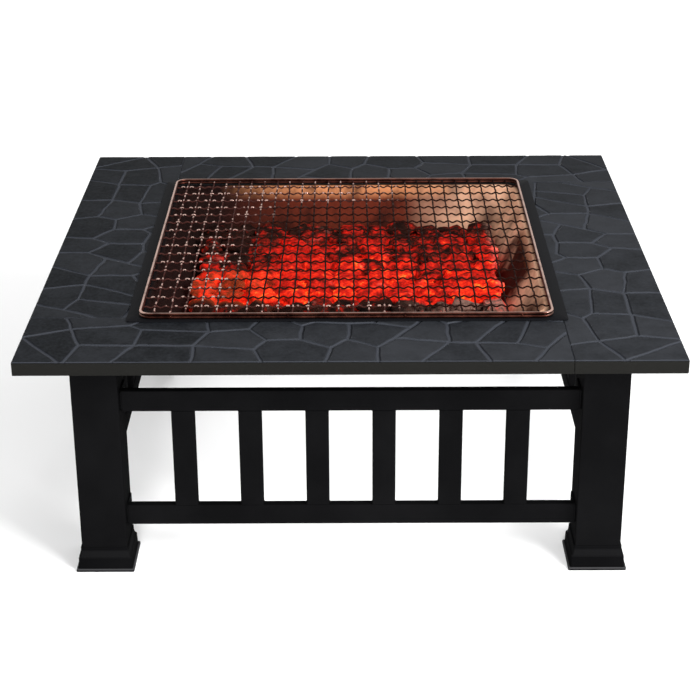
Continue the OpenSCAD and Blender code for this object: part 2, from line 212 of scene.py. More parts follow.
# Cooking grate
GRATE_CENTRE = (*(RIM_LOW + RIM_HIGH)[:2] / 2, 0)
GRATE_SIZE = RIM_HIGH - RIM_LOW
RIM_WIRE_R = GRATE_SIZE[2] / 2
RIM_X = GRATE_SIZE[0] / 2 - RIM_WIRE_R
RIM_Y = GRATE_SIZE[1] / 2 - RIM_WIRE_R
RIM_CORNER = 14 * MM
RIM_Z = (RIM_LOW[2] + RIM_HIGH[2]) / 2
TOP_RIM_Z = (TOP_RIM_LOW[2] + TOP_RIM_HIGH[2]) / 2
MESH_Z = (RIM_Z + TOP_RIM_Z) / 2
WIRE_R = (LONG_WIRES_HIGH[2] - LONG_WIRES_LOW[2]) / 2
CRIMP = MESH_Z - WIRE_R - LONG_WIRES_LOW[2]
HALF_WAVES = 3
LONG_WIRE_N = 26
CROSS_WIRE_N = 16
LONG_PITCH = GRATE_SIZE[0] / (LONG_WIRE_N + 1)
CROSS_PITCH = GRATE_SIZE[1] / (CROSS_WIRE_N + 1)
WIRE_END = 1.5 * MM
WIRE_WANDER = 0.7 * MM
WIRE_SHAKE = 0.5 * MM
WIRE_SIDES = 8
RIM_SIDES = 16
RIM_STEP = 7 * MM
RIM_BOW = 0.35 * MM
WELD_OUT = 0.9 * MM
WELD_N = 7


# ---------- mesh tools ----------

def quarter_turn(points, k):
    """The points turned k quarter turns about the table's centre."""
    c, s = round(math.cos(k * math.pi / 2)), round(math.sin(k * math.pi / 2))
    return np.asarray(points) @ np.array([[c, s, 0], [-s, c, 0], [0, 0, 1]])


def joined(parts):
    """One (points, faces) from several."""
    points, faces, count = [], [], 0
    for part_points, part_faces in parts:
        points.append(np.asarray(part_points))
        faces += [[i + count for i in face] for face in part_faces]
        count += len(part_points)
    return np.vstack(points), faces


def rounded_rectangle(half_x, half_y, radius, steps=6):
    """Outline of a rectangle with round corners, as flat points going left round from above."""
    outline = []
    for quarter, (sx, sy) in enumerate(((1, 1), (-1, 1), (-1, -1), (1, -1))):
        centre = np.array([sx * (half_x - radius), sy * (half_y - radius)])
        for step in range(steps + 1):
            angle = (quarter + step / steps) * math.pi / 2
            outline.append(centre + radius * np.array([math.cos(angle), math.sin(angle)]))
    return np.array(outline)


def lifted(outline, z):
    """A flat outline as points at one height."""
    return np.column_stack((outline, np.full(len(outline), z)))


def loft(rings, closed=False):
    """A skin through rings of equally many points. Closed joins the last ring to the first,
    and otherwise both ends are capped."""
    size = len(rings[0])
    pairs = len(rings) if closed else len(rings) - 1
    faces = []
    for ring in range(pairs):
        a, b = ring * size, (ring + 1) % len(rings) * size
        for i in range(size):
            j = (i + 1) % size
            faces.append([a + i, a + j, b + j, b + i])
    if not closed:
        faces.append(list(range(size))[::-1])
        faces.append([(len(rings) - 1) * size + i for i in range(size)])
    return np.vstack(rings), faces


def swept(path, radius, sides=8, closed=False):
    """A round tube along a path. The radius is one number, or one for each point."""
    path = np.asarray(path)
    radius = np.broadcast_to(radius, len(path))
    if closed:
        ahead, behind = np.roll(path, -1, axis=0), np.roll(path, 1, axis=0)
    else:
        ahead, behind = np.vstack((path[1:], path[-1:])), np.vstack((path[:1], path[:-1]))
    tangent = ahead - behind
    tangent /= np.linalg.norm(tangent, axis=1)[:, None]
    side = np.cross(tangent, UP)
    flat = np.linalg.norm(side, axis=1) < 1e-6
    side[flat] = (1, 0, 0)
    side /= np.linalg.norm(side, axis=1)[:, None]
    top = np.cross(side, tangent)
    angles = np.arange(sides) * 2 * math.pi / sides
    rings = [p + r * (np.outer(np.cos(angles), s) + np.outer(np.sin(angles), t))
             for p, r, s, t in zip(path, radius, side, top)]
    return loft(rings, closed=closed)


def bar(half_x, half_y, radius, low, high):
    """Upright bar with round edges all over, between two heights."""
    soft = min(radius, 0.5 * MM)
    heights = [(soft, low), (0, low + soft), (0, high - soft), (soft, high)]
    return loft([lifted(rounded_rectangle(half_x - inset, half_y - inset, radius), z)
                 for inset, z in heights])


def laid_along_x(part):
    """An upright part laid down: its height now runs along X."""
    points, faces = part
    return points[:, [2, 0, 1]], faces


def moved(part, offset):
    points, faces = part
    return points + np.asarray(offset), faces


def smooth(t):
    return t * t * (3 - 2 * t)


def rise(value, start, end):
    """Goes smoothly from 0 at the start to 1 at the end."""
    return smooth(np.clip((value - start) / (end - start), 0, 1))


def plane_noise(x, y, cell, rng):
    """Smooth noise from -1 to 1 over a plane, its features about one cell wide."""
    column, row = np.floor(x / cell).astype(int), np.floor(y / cell).astype(int)
    tx, ty = smooth(x / cell - column), smooth(y / cell - row)
    column, row = column - column.min(), row - row.min()
    lattice = rng.uniform(-1, 1, (column.max() + 2, row.max() + 2))
    near = lattice[column, row] * (1 - tx) + lattice[column + 1, row] * tx
    far = lattice[column, row + 1] * (1 - tx) + lattice[column + 1, row + 1] * tx
    return near * (1 - ty) + far * ty


def line_noise(s, cell, rng):
    """Smooth noise from -1 to 1 along a line."""
    return plane_noise(np.asarray(s), np.zeros(len(s)), cell, rng)


def mesh_of(name, part, attributes=None, crease=40):
    """A smooth-shaded mesh whose edges sharper than crease degrees stay sharp."""
    points, faces = part
    mesh = bpy.data.meshes.new(name)
    mesh.from_pydata(np.asarray(points).tolist(), [], faces)
    for key, values in (attributes or {}).items():
        layer = mesh.attributes.new(key, "FLOAT", "POINT")
        layer.data.foreach_set("value", np.asarray(values, dtype=np.float32))
    work = bmesh.new()
    work.from_mesh(mesh)
    bmesh.ops.recalc_face_normals(work, faces=work.faces)
    work.to_mesh(mesh)
    work.free()
    mesh.shade_smooth()
    mesh.set_sharp_from_angle(angle=math.radians(crease))
    return mesh


def add_piece(name, mesh, material, body, nodes):
    """Puts a mesh in the scene, riding on a body in place of some CAD nodes."""
    piece = bpy.data.objects.new(name, mesh)
    bpy.context.scene.collection.objects.link(piece)
    mesh.materials.append(material)
    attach(piece, body)
    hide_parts(*nodes)


# ---------- material tools ----------

def new_material(name):
    """A material with a principled shader, and its node tree."""
    material = bpy.data.materials.new(name)
    material.use_nodes = True
    tree = material.node_tree
    return material, tree, tree.nodes["Principled BSDF"]


def add_node(tree, kind, inputs, **settings):
    """A node with its settings, and its inputs linked or set."""
    node = tree.nodes.new(kind)
    for key, value in settings.items():
        setattr(node, key, value)
    for key, value in inputs.items():
        connect(tree, value, node.inputs[key])
    return node


def connect(tree, value, socket):
    if isinstance(value, bpy.types.NodeSocket):
        tree.links.new(value, socket)
    else:
        socket.default_value = value


def place(tree):
    """The object's own coordinates, in metres."""
    return add_node(tree, "ShaderNodeTexCoord", {}).outputs["Object"]


def attribute(tree, name):
    return add_node(tree, "ShaderNodeAttribute", {}, attribute_name=name).outputs["Fac"]


def noise(tree, scale, detail=3.0, roughness=0.55, vector=None):
    """Noise with scale features in each metre."""
    inputs = {"Vector": vector or place(tree), "Scale": scale, "Detail": detail, "Roughness": roughness}
    return add_node(tree, "ShaderNodeTexNoise", inputs).outputs["Fac"]


def stretched(tree, factors):
    """The object's coordinates, multiplied along each axis."""
    inputs = {"Vector": place(tree), "Scale": factors}
    return add_node(tree, "ShaderNodeMapping", inputs).outputs["Vector"]


def levels(tree, value, low, high, out_low=0.0, out_high=1.0, curve="LINEAR"):
    """Takes low to out_low and high to out_high, and holds what lies outside."""
    inputs = {"Value": value, "From Min": low, "From Max": high, "To Min": out_low, "To Max": out_high}
    node = add_node(tree, "ShaderNodeMapRange", inputs, clamp=True, interpolation_type=curve)
    return node.outputs["Result"]


def maths(tree, operation, a, b):
    return add_node(tree, "ShaderNodeMath", {0: a, 1: b}, operation=operation).outputs[0]


def ramp(tree, value, stops):
    """Colours by value. Each stop is (position, colour)."""
    node = add_node(tree, "ShaderNodeValToRGB", {"Fac": value})
    steps = node.color_ramp.elements
    while len(steps) < len(stops):
        steps.new(0.5)
    for step, (position, colour) in zip(steps, stops):
        step.position = position
        step.color = (*colour, 1)
    return node.outputs["Color"]


def blended(tree, factor, a, b):
    """Colour a going to colour b."""
    node = add_node(tree, "ShaderNodeMix", {0: factor}, data_type="RGBA")
    connect(tree, a if isinstance(a, bpy.types.NodeSocket) else (*a, 1), node.inputs[6])
    connect(tree, b if isinstance(b, bpy.types.NodeSocket) else (*b, 1), node.inputs[7])
    return node.outputs[2]


def times(tree, a, b):
    return maths(tree, "MULTIPLY", a, b)


def without(tree, value):
    """1 less the value."""
    return maths(tree, "SUBTRACT", 1.0, value)


def dress(tree, shader, colour, roughness, specular=0.5, metallic=0.0):
    """Sets or links the shader's main inputs."""
    connect(tree, colour, shader.inputs["Base Color"])
    connect(tree, roughness, shader.inputs["Roughness"])
    connect(tree, specular, shader.inputs["Specular IOR Level"])
    connect(tree, metallic, shader.inputs["Metallic"])


def bump(tree, shader, height, distance, strength=1.0):
    inputs = {"Height": height, "Distance": distance, "Strength": strength}
    node = add_node(tree, "ShaderNodeBump", inputs)
    tree.links.new(node.outputs["Normal"], shader.inputs["Normal"])


# ---------- materials ----------

def stone_coat():
    """Powder coat on the pressed panels: mottled slate grey, with a painted highlight along the joints
    and the edge bends, and painted shade darkening it to the left and at the back."""
    material, tree, shader = new_material("stone_coat")
    clouds = noise(tree, 30, 5, 0.6)
    grain = noise(tree, 260, 3, 0.6)
    # The joint attribute also carries the painted highlight of the edge bends
    joint = levels(tree, attribute(tree, "joint"), 0.0, JOINT_WALL, curve="SMOOTHSTEP")
    axes = add_node(tree, "ShaderNodeSeparateXYZ", {"Vector": place(tree)}).outputs
    tone = maths(tree, "ADD", attribute(tree, "tone"), levels(tree, clouds, 0.3, 0.7, 0.0, 1.1))
    # Painted shade: the stones darken to the left and towards the back
    tone = maths(tree, "ADD", tone, levels(tree, axes["X"], -0.4, 0.0, *LEFT_TO_RIGHT_PAINTED_SHADE))
    tone = maths(tree, "ADD", tone, levels(tree, axes["Y"], 0.2, 0.4, 0.0, BACK_PAINTED_SHADE))
    stone = ramp(tree, levels(tree, tone, 0.1, 1.9), [(0.0, STONE_DARK), (1.0, STONE_LIGHT)])
    stone = blended(tree, levels(tree, grain, 0.35, 0.75, 0.0, 0.35), stone, STONE_SPECK)
    # Lighter joints: a painted highlight standing in for the light that the groove walls catch
    coat = blended(tree, levels(tree, joint, 0.02, 0.65), stone, JOINT_HIGHLIGHT_COLOUR)
    coat = blended(tree, attribute(tree, "skirt"), coat, SKIRT_COLOUR)
    dress(tree, shader, coat, levels(tree, clouds, 0.3, 0.7, 0.5, 0.62), 0.05)
    groove = times(tree, joint, JOINT_BUMP)
    relief = maths(tree, "SUBTRACT", times(tree, grain, GRAIN_BUMP), groove)
    bump(tree, shader, relief, 1 * MM)
    return material


def black_coat(name, colour, roughness=0.5, specular=0.0003):
    """Black powder coat with a fine orange peel, slightly dusty in places, and lighter grey on its
    edges as a painted highlight.
    """
    material, tree, shader = new_material(name)
    clouds = noise(tree, 9, 4)
    dusty = tuple(channel * DUST_LIGHTENS + DUST_ADDS for channel in colour)
    coat = blended(tree, levels(tree, clouds, 0.4, 0.75), colour, dusty)
    # Lighter grey on the edges that carry the attribute: a painted highlight
    coat = blended(tree, attribute(tree, "painted_edge_highlight"), coat, EDGE_HIGHLIGHT_GREY)
    rough = maths(tree, "ADD", roughness - 0.05, times(tree, clouds, 0.12))
    dress(tree, shader, coat, rough, specular)
    bump(tree, shader, noise(tree, 700, 2), COAT_PEEL)
    return material


def bowl_enamel():
    """Black enamel, clean on the flange, and sooty, heat-browned and ashy further down; the bright
    orange-brown and the warm ash also hold painted glow from the coals.
    """
    material, tree, shader = new_material("bowl_enamel")
    axes = add_node(tree, "ShaderNodeSeparateXYZ", {"Vector": place(tree)}).outputs
    used = attribute(tree, "used")
    lower = levels(tree, axes["Z"], FLANGE_TOP - 6 * MM, FLANGE_TOP - 19 * MM)
    # The heat colour and its painted glow fall off towards the left
    heat_and_glow = levels(tree, axes["X"], *HEATED_X)
    right = levels(tree, axes["X"], *ASHY_X)
    patches = noise(tree, 13, 4, 0.55)
    streaks = noise(tree, 1.0, 4, 0.6, stretched(tree, (26, 26, 7)))
    # Orange-brown near the top going to dark red lower down: heat colour and painted glow from the
    # coals
    scale = blended(tree, lower, HEAT_BROWN_AND_GLOW, HEAT_RED)
    marked = times(tree, used, heat_and_glow)
    marked = times(tree, marked, levels(tree, streaks, 0.28, 0.52))
    marked = times(tree, marked, levels(tree, right, 0, 1, 1.0, 0.35))
    soot = blended(tree, marked, blended(tree, used, ENAMEL, SOOT), scale)
    ash = times(tree, times(tree, used, right), levels(tree, patches, 0.30, 0.60))
    ash = times(tree, ash, without(tree, swept_clean(tree, axes, patches)))
    # Ash, warmed and brightened as painted glow from the coals
    coat = blended(tree, ash, soot, ASH_DUST_AND_GLOW)
    dress(tree, shader, coat, levels(tree, used, 0, 1, 0.55, 0.85), 0.05)
    bump(tree, shader, streaks, 0.3 * MM, 0.6)
    return material


def swept_clean(tree, axes, patches):
    """1 where the bowl's wall has no ash: low down, and not near the front and back ends."""
    uneven = levels(tree, patches, 0.3, 0.7, -0.05, 0.05)
    off_middle = maths(tree, "ABSOLUTE", maths(tree, "ADD", axes["Y"], 0.02), 0)
    ends = levels(tree, maths(tree, "ADD", off_middle, uneven), *ASHY_ENDS)
    bottom = levels(tree, axes["Z"], FLANGE_TOP - 1 * MM, FLANGE_TOP - 13 * MM)
    return times(tree, bottom, without(tree, ends))


def rim_copper():
    """Copper-plated wire, brown with heat, with bright copper painted on as a highlight where the wire
    faces up and out.
    """
    material, tree, shader = new_material("rim_copper")
    patches = noise(tree, 55, 4, 0.6)
    patchy = levels(tree, patches, 0.25, 0.5, 0.25, 1.0)
    # Bright copper where the wire faces up and out: a painted highlight, broken up by noise
    bright = times(tree, attribute(tree, "painted_rim_highlight"), patchy)
    tarnish = blended(tree, levels(tree, patches, 0.35, 0.65), TARNISH, TARNISH_RED)
    surface = blended(tree, bright, tarnish, COPPER_HIGHLIGHT)
    dress(tree, shader, surface, levels(tree, bright, 0, 1, 0.45, 0.25), metallic=1.0)
    bump(tree, shader, noise(tree, 900, 2), METAL_GRAIN)
    return material


def mesh_copper():
    """Tarnished mesh wire, nearly black over the fire, with bare copper on the crests elsewhere, its
    pale colour partly a painted glint.
    """
    material, tree, shader = new_material("mesh_copper")
    patches = noise(tree, 60, 4, 0.6)
    burnt = attribute(tree, "burnt")
    dark = blended(tree, burnt, MESH_TARNISH, MESH_BURNT)
    # Bare copper on the crests: partly wear, partly a painted glint
    reach = maths(tree, "ADD", attribute(tree, "crest"), levels(tree, patches, 0.3, 0.7, -0.9, 0.9))
    bare_and_glint = times(tree, levels(tree, reach, 0.7, 1.15), without(tree, burnt))
    surface = blended(tree, bare_and_glint, dark, MESH_BARE_AND_GLINT)
    dress(tree, shader, surface, levels(tree, bare_and_glint, 0, 1, 0.5, 0.18), 0.04, bare_and_glint)
    bump(tree, shader, noise(tree, 900, 2), METAL_GRAIN)
    return material


def dull_steel(name, colour, rust, roughness):
    """Plain steel with a few stains."""
    material, tree, shader = new_material(name)
    patches = noise(tree, 70, 4, 0.6)
    stained = blended(tree, levels(tree, patches, 0.45, 0.8), colour, rust)
    rough = levels(tree, patches, 0.3, 0.8, roughness, roughness + 0.2)
    dress(tree, shader, stained, rough, metallic=1.0)
    bump(tree, shader, noise(tree, 1200, 2), METAL_GRAIN)
    return material


def glowing_charcoal():
    """Black charcoal with grey ash, glowing from red to orange-yellow where it is hot, and painted dull
    red where it smoulders.
    """
    material, tree, shader = new_material("charcoal")
    crust = noise(tree, 75, 5, 0.68)
    blotches = noise(tree, 38, 4, 0.6)
    coal = ramp(tree, blotches, [(0.3, COAL_BLACK), (0.62, COAL_BROWN), (0.8, COAL_ASH)])
    dusty = times(tree, attribute(tree, "ash"), levels(tree, crust, 0.35, 0.55))
    coal = blended(tree, dusty, coal, PINK_ASH)
    # Painted glow: a dull red base colour where the bed smoulders
    coal = blended(tree, attribute(tree, "smoulder"), coal, SMOULDER_PAINTED_GLOW)
    dress(tree, shader, coal, 0.9, 0.03)
    broken = levels(tree, crust, 0.3, 0.7, -CRUST_CONTRAST, CRUST_CONTRAST)
    heat = maths(tree, "ADD", attribute(tree, "ember"), broken)
    connect(tree, ramp(tree, heat, GLOW_STOPS), shader.inputs["Emission Color"])
    shader.inputs["Emission Strength"].default_value = GLOW_STRENGTH
    bump(tree, shader, crust, 2 * MM)
    return material


STONE_DARK = (0.0026, 0.0032, 0.0042)
STONE_LIGHT = (0.0235, 0.0250, 0.0290)
STONE_SPECK = (0.030, 0.034, 0.040)
# Lighter grey of the joints' painted highlight
JOINT_HIGHLIGHT_COLOUR = (0.034, 0.037, 0.045)
SKIRT_COLOUR = (0.0058, 0.0057, 0.0051)
# Grey of the painted highlight on edges
EDGE_HIGHLIGHT_GREY = (0.045, 0.045, 0.047)
ENAMEL = (0.0040, 0.0041, 0.0050)
SOOT = (0.0120, 0.0050, 0.0042)
# Heat-browned enamel, brightened with painted glow from the coals
HEAT_BROWN_AND_GLOW = (0.62, 0.25, 0.11)
HEAT_RED = (0.115, 0.020, 0.010)
# Ash colour, warmed with painted glow from the coals
ASH_DUST_AND_GLOW = (0.95, 0.56, 0.37)
# Bright copper of the rims' painted highlight
COPPER_HIGHLIGHT = (0.90, 0.60, 0.50)
TARNISH = (0.028, 0.008, 0.006)
TARNISH_RED = (0.12, 0.038, 0.026)
# Pale bare copper of the crests, partly a painted glint
MESH_BARE_AND_GLINT = (0.85, 0.58, 0.50)
MESH_TARNISH = (0.035, 0.012, 0.010)
MESH_BURNT = (0.010, 0.003, 0.002)
COAL_BLACK = (0.007, 0.004, 0.0035)
COAL_BROWN = (0.026, 0.009, 0.006)
COAL_ASH = (0.14, 0.085, 0.070)
PINK_ASH = (0.34, 0.19, 0.15)
# Dull red painted glow of the smouldering coals
SMOULDER_PAINTED_GLOW = (0.36, 0.050, 0.014)
# Bumps of the stones, and the painted shade that darkens them to the left and at the back
JOINT_BUMP = 2.8
GRAIN_BUMP = 0.12
LEFT_TO_RIGHT_PAINTED_SHADE = (-0.65, 0.25)
BACK_PAINTED_SHADE = -0.55
DUST_LIGHTENS = 1.35
DUST_ADDS = 0.0005
COAT_PEEL = 0.05 * MM
METAL_GRAIN = 0.03 * MM
# Where the bowl is marked by heat, with its painted glow from the coals, and by ash, from none to full
HEATED_X = (-0.20, -0.06)
ASHY_X = (0.08, 0.22)
ASHY_ENDS = (0.06, 0.14)
CRUST_CONTRAST = 0.40
GLOW_STOPS = [(0.14, (0.0, 0.0, 0.0)), (0.32, (0.13, 0.003, 0.001)), (0.56, (0.50, 0.006, 0.003)),
              (0.80, (0.90, 0.026, 0.006)), (1.0, (1.0, 0.24, 0.030))]
GLOW_STRENGTH = 1.25

STONE = stone_coat()
FRAME_COAT = black_coat("frame_coat", (0.0026, 0.0026, 0.0028))
FOOT_COAT = black_coat("foot_coat", (0.0021, 0.0021, 0.0023), 0.45, 0.0006)
BRACKET_COAT = black_coat("bracket_coat", (0.010, 0.010, 0.011), 0.55)
ENAMEL_COAT = bowl_enamel()
RIM_COPPER = rim_copper()
MESH_COPPER = mesh_copper()
ZINC = dull_steel("fastener_zinc", (0.52, 0.53, 0.55), (0.34, 0.31, 0.28), 0.32)
GRATE_STEEL = dull_steel("charcoal_grate_steel", (0.09, 0.08, 0.075), (0.10, 0.045, 0.025), 0.55)
CHARCOAL = glowing_charcoal()


# ---------- tabletop ----------

def distance_to_joints(u, v):
    """How far points of a panel are from the nearest joint line."""
    points = np.column_stack((u, v))
    nearest = np.full(len(points), 1.0)
    for line in JOINT_LINES:
        stops = np.array(line) * MM
        for start, end in zip(stops[:-1], stops[1:]):
            step = end - start
            t = np.clip((points - start) @ step / (step @ step), 0, 1)
            gap = np.linalg.norm(points - start - t[:, None] * step, axis=1)
            nearest = np.minimum(nearest, gap)
    return nearest


def stone_numbers(is_stone):
    """Gives every stone of the grid its own number. Joints are number 0."""
    number = np.zeros(is_stone.shape, dtype=int)
    count = 0
    for start in map(tuple, np.argwhere(is_stone).tolist()):
        if number[start]:
            continue
        count += 1
        number[start] = count
        front = [start]
        while front:
            i, j = front.pop()
            for spot in ((i + 1, j), (i - 1, j), (i, j + 1), (i, j - 1)):
                inside = all(0 <= at < size for at, size in zip(spot, is_stone.shape))
                if inside and is_stone[spot] and not number[spot]:
                    number[spot] = count
                    front.append(spot)
    return number, count


def stone_relief(u, v, shape):
    """Height, nearness to a joint's middle and tone at every grid point of a panel.
    The nearness is 1 in a joint's middle, 0 at its edge and less than 0 on the stones."""
    rng = np.random.default_rng(11)
    wander_u = u + JOINT_WANDER * plane_noise(u, v, JOINT_WANDER_CELL, rng)
    wander_v = v + JOINT_WANDER * plane_noise(u, v, JOINT_WANDER_CELL, rng)
    gap = distance_to_joints(wander_u, wander_v)
    half = JOINT_W / 2 * (1 + JOINT_W_VARIES * plane_noise(u, v, JOINT_W_CELL, rng))
    nearness = 1 - gap / half
    joint = smooth(np.clip(nearness / JOINT_WALL, 0, 1))
    number, count = stone_numbers((gap > half).reshape(shape))
    number = number.ravel()
    tones = rng.uniform(0, 1, count + 1)
    tilts = rng.uniform(-1, 1, (count + 1, 2))
    tilt_u, tilt_v = tilts[number, 0], tilts[number, 1]
    facet = FACET_DROP * (tilt_u * (u % FACET_CELL) + tilt_v * (v % FACET_CELL)) / FACET_CELL
    slate = SLATE_DROP * plane_noise(u, v, SLATE_CELL, rng)
    slate += CHIP_DROP * plane_noise(u, v, CHIP_CELL, rng)
    pillow = PILLOW_DROP * np.exp(-gap / PILLOW_REACH)
    drop = np.clip(STONE_DROP + slate + facet, 0, STONE_DROP_MOST) + pillow + JOINT_D * joint
    return -np.minimum(drop, LOWEST_RELIEF), np.maximum(nearness, -1), tones[number]


def panel_edge(columns, rows):
    """The edge of the grid, going left round from above: grid point, outward angle, bend and depth."""
    edge = []

    def along(points, angle, bend, depth):
        edge.extend((point, angle, bend, depth(point)) for point in points)

    def fan(point, start, bends, depth):
        for step in range(1, CORNER_STEPS):
            t = step / CORNER_STEPS
            bend = bends[0] * (1 - t) + bends[1] * t
            edge.append((point, start + t * 90, bend, depth))

    def inner_depth(point):
        return LIP_H if point[0] * PANEL_STEP > PANEL_W - OUTER_BEND else SEAM_H

    last_i, last_j = columns - 1, rows - 1
    along([(i, 0) for i in range(columns)], -90, OUTER_BEND, lambda p: SKIRT_H)
    fan((last_i, 0), -90, (OUTER_BEND, SEAM_END), SKIRT_H)
    along([(last_i, j) for j in range(rows)], 0, SEAM_END, lambda p: SEAM_H)
    fan((last_i, last_j), 0, (SEAM_END, OPENING_BEND), LIP_H)
    along([(i, last_j) for i in range(last_i, -1, -1)], 90, OPENING_BEND, inner_depth)
    fan((0, last_j), 90, (OPENING_BEND, OUTER_BEND), SKIRT_H)
    along([(0, j) for j in range(last_j, -1, -1)], 180, OUTER_BEND, lambda p: SKIRT_H)
    fan((0, 0), 180, (OUTER_BEND, OUTER_BEND), SKIRT_H)
    return edge


def grid_faces(cell):
    """The square faces of a grid of point numbers."""
    quads = np.stack((cell[:-1, :-1], cell[1:, :-1], cell[1:, 1:], cell[:-1, 1:]), axis=-1)
    return quads.reshape(-1, 4).tolist()


def edge_faces(loops):
    """Faces from each loop of point numbers down to the next, and one that closes the last."""
    faces = []
    for upper, lower in zip(loops[:-1], loops[1:]):
        for p in range(len(upper)):
            q = (p + 1) % len(upper)
            face = [upper[p], lower[p], lower[q], upper[q]]
            if face[0] == face[3]:
                face.pop()
            faces.append([int(i) for i in face])
    faces.append([int(i) for i in loops[-1]][::-1])
    return faces


def panel_part():
    """Points, faces and attributes of the front panel: a grid for its top, and loops for its edges."""
    u_line = np.linspace(OUTER_BEND, PANEL_L - SEAM_BEND, round(PANEL_L / PANEL_STEP))
    v_line = np.linspace(OUTER_BEND, PANEL_W - OPENING_BEND, round(PANEL_W / PANEL_STEP))
    columns, rows = len(u_line), len(v_line)
    u, v = (axis.ravel() for axis in np.meshgrid(u_line, v_line, indexing="ij"))
    height, joint, tone = stone_relief(u, v, (columns, rows))
    points = [np.column_stack((u, v, height))]
    joints, tones, skirts = [joint], [tone], [np.zeros(len(u))]

    cell = np.arange(columns * rows).reshape(columns, rows)
    edge = panel_edge(columns, rows)
    start = np.array([cell[point] for point, _, _, _ in edge])
    angle = np.radians([entry[1] for entry in edge])
    outward = np.column_stack((np.cos(angle), np.sin(angle)))
    bend = np.array([entry[2] for entry in edge])
    depth = np.array([entry[3] for entry in edge])
    flat = points[0][start, :2]

    def ring(out, z, bend_highlight, skirt):
        index = sum(len(group) for group in points) + np.arange(len(edge))
        points.append(np.column_stack((flat + outward * out[:, None], z)))
        # Along the bends the joint values take the bend's painted highlight
        joints.append(np.maximum(joint[start] * (1 - skirt), bend_highlight))
        tones.append(tone[start])
        skirts.append(np.full(len(edge), skirt))
        return index

    loops = [start]
    for turn in BEND_PAINTED_HIGHLIGHT:
        a = math.radians(turn)
        z = height[start] * math.cos(a) - bend * (1 - math.cos(a))
        skirt = max(0, turn - SKIRT_TURN) / (90 - SKIRT_TURN)
        loops.append(ring(bend * math.sin(a), z, BEND_PAINTED_HIGHLIGHT[turn], skirt))
    below = ((bend, -depth + EDGE_ROUND), (bend - EDGE_ROUND, -depth), (bend - SHEET_T, -depth),
             (bend - SHEET_T, np.full(len(edge), -PANEL_BACK)))
    loops += [ring(out, z, 0, 1) for out, z in below]
    faces = grid_faces(cell) + edge_faces(loops)

    origin = np.array([PANEL_LOW[0], PANEL_LOW[1], TABLE_Z])
    # The joint attribute holds the joints and also the painted highlight on the bends
    attributes = {"joint": np.concatenate(joints), "tone": np.concatenate(tones),
                  "skirt": np.concatenate(skirts)}
    return (np.vstack(points) + origin, faces), attributes


def build_tabletop():
    part, attributes = panel_part()
    pressed = mesh_of("tabletop_panel", part, attributes, 50)
    for k, side in enumerate(SIDES):
        mesh = pressed.copy()
        mesh.transform(Matrix.Rotation(k * math.pi / 2, 4, "Z"))
        add_piece("stone_top_" + side, mesh, STONE, "table", ["tabletop_" + side])


# ---------- feet ----------

def foot_part():
    """Lofted cap foot with a moulded side and a socket for the leg. A ring is its half width,
    its height, the radius of its corners and how much painted highlight its edge gets."""
    soft = 0.5 * MM
    step_half = FOOT_BASE - PLINTH_STEP
    # The last value of each ring is its painted edge highlight, strongest on the plinth's top edge
    rings = [
        (FOOT_BASE - soft, 0, FOOT_CORNER, 0),
        (FOOT_BASE, soft, FOOT_CORNER, 0),
        (FOOT_BASE, PLINTH_H - PLINTH_ROUND, FOOT_CORNER, 0.15),
        (FOOT_BASE - 0.35 * MM, PLINTH_H - 0.35 * MM, FOOT_CORNER, 0.8),
        (FOOT_BASE - PLINTH_ROUND, PLINTH_H, FOOT_CORNER, 0.8),
        (step_half, PLINTH_H + FOOT_ROUND, FOOT_CORNER, 0),
        (step_half - FOOT_ROUND, PLINTH_H + PLINTH_STEP / 2, FOOT_CORNER, 0),
        (FOOT_SHOULDER, COVE_Z - 2 * FOOT_ROUND, FOOT_CORNER, 0),
        (FOOT_SHOULDER - 0.25 * MM, COVE_Z + FOOT_ROUND, FOOT_CORNER, 0.06),
    ]
    for turn in range(15, 91, 15):
        a = math.radians(turn)
        half = FOOT_COLLAR + (FOOT_SHOULDER - FOOT_COLLAR) * (1 - math.sin(a))
        painted_edge_highlight = 0.05 if turn < 90 else 0
        rings.append((half, COVE_Z + COVE_H * (1 - math.cos(a)), COLLAR_CORNER, painted_edge_highlight))
    rings += [
        (FOOT_COLLAR, FOOT_H - FOOT_ROUND, COLLAR_CORNER, 0),
        (FOOT_COLLAR - FOOT_ROUND, FOOT_H, COLLAR_TOP_CORNER, 0.05),
        (FOOT_SOCKET, FOOT_H, SOCKET_CORNER, 0),
        (FOOT_SOCKET, FOOT_FLOOR, SOCKET_CORNER, 0),
    ]
    skins = [lifted(rounded_rectangle(half, half, radius), z) for half, z, radius, _ in rings]
    return loft(skins), np.repeat([ring[3] for ring in rings], len(skins[0]))


def build_feet():
    part, painted_edge_highlight = foot_part()
    points, faces = moved(part, FOOT_CENTRE)
    for k, corner in enumerate(CORNERS):
        mesh = mesh_of("foot_cap_" + corner, (quarter_turn(points, k), faces), {"painted_edge_highlight": painted_edge_highlight}, 50)
        add_piece("foot_cap_" + corner, mesh, FOOT_COAT, "table", ["foot_" + corner])


# ---------- side panels ----------

def weld_bead(start, end, rng):
    """A rippled bead of weld between two points."""
    start, end = np.array(start), np.array(end)
    length = np.linalg.norm(end - start)
    count = max(6, round(length / BEAD_STEP))
    t = np.linspace(0, 1, count)
    path = start + t[:, None] * (end - start)
    ripple = 0.82 + 0.18 * np.abs(np.sin(t * length / BEAD_RIPPLE * math.pi))
    ripple += 0.06 * rng.uniform(-1, 1, count)
    ripple[0] = ripple[-1] = 0.3
    return swept(path, BEAD_R * ripple)


